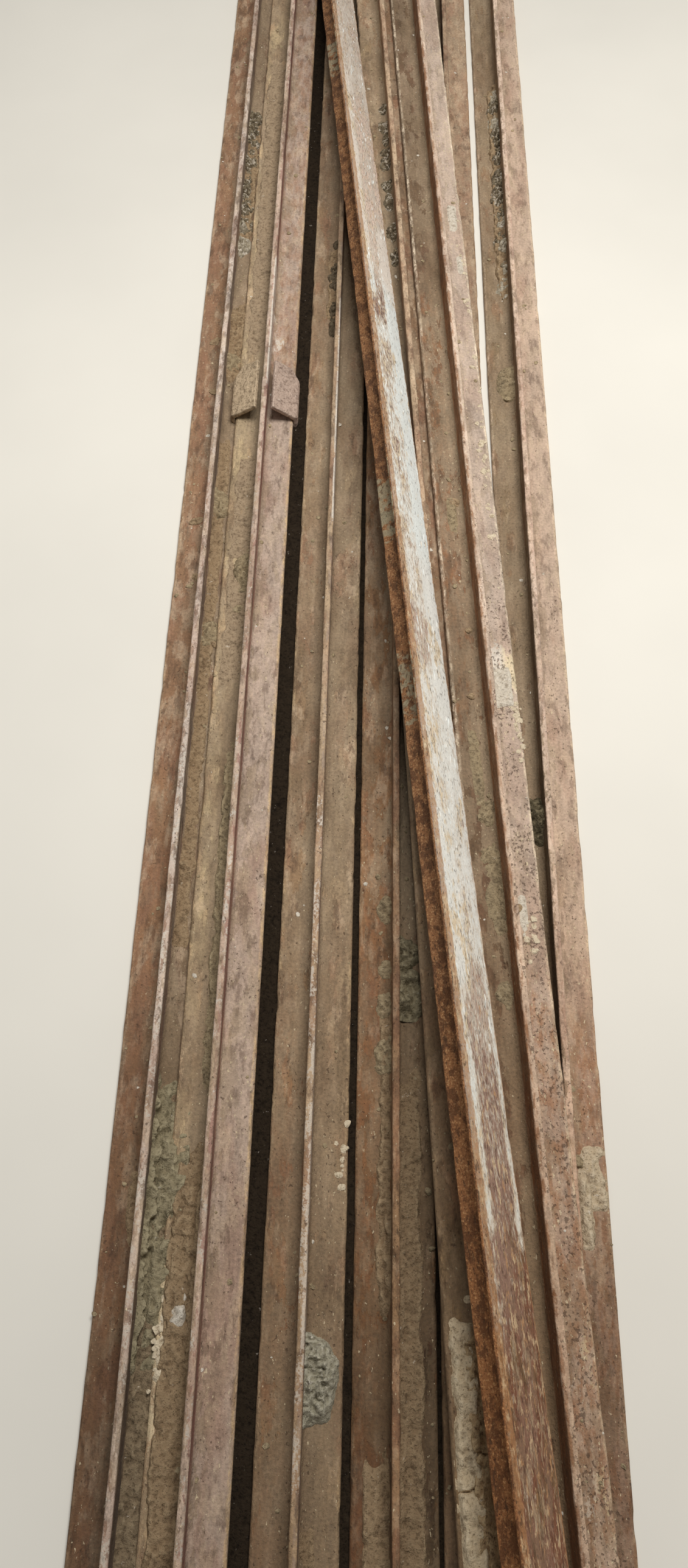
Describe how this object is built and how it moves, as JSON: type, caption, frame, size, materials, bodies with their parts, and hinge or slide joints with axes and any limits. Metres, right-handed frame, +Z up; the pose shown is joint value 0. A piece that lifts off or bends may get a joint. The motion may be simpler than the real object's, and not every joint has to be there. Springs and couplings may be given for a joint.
{
  "type": "bundle of steel t-bars",
  "caption": "Loose bundle of long rusted steel tee bars, most lying web up side by side, some skewed across the top, with bent edge clips gripping one flange.",
  "frame": {"origin": "middle of the bundle's footprint, at floor level", "axes": "+X across the bundle to the right, +Y along the bars to the far end, +Z up"},
  "size_m": [0.3942, 3.0888, 0.1529],
  "materials": {
    "rusted_steel": "hot-rolled steel with brown rust, pits and a film of dried mud",
    "primed_steel": "worn pink-red primer over rust, pitted and dusty, pale on the bare edges",
    "painted_steel": "pale blue-white paint flaking off in streaks, orange rust on the inner side",
    "clip_steel": "bent steel plate, rusted, with white paint chips and mud",
    "dried_mud": "dark dried mud and grit, packed in the corners beside the webs",
    "cement_crust": "grey-beige cement spatter and crust, cracked and matt"
  },
  "bodies": {
    "root": {"lower_bar_1": "rusted_steel", "lower_bar_2": "primed_steel", "lower_bar_3": "rusted_steel", "lower_bar_4": "rusted_steel", "lower_bar_5": "rusted_steel", "lower_bar_6": "primed_steel", "upper_bar_1": "rusted_steel", "upper_bar_2": "primed_steel", "crossing_bar": "painted_steel", "edge_clip_left": "clip_steel", "edge_clip_right": "clip_steel"}
  },
  "joints": []
}
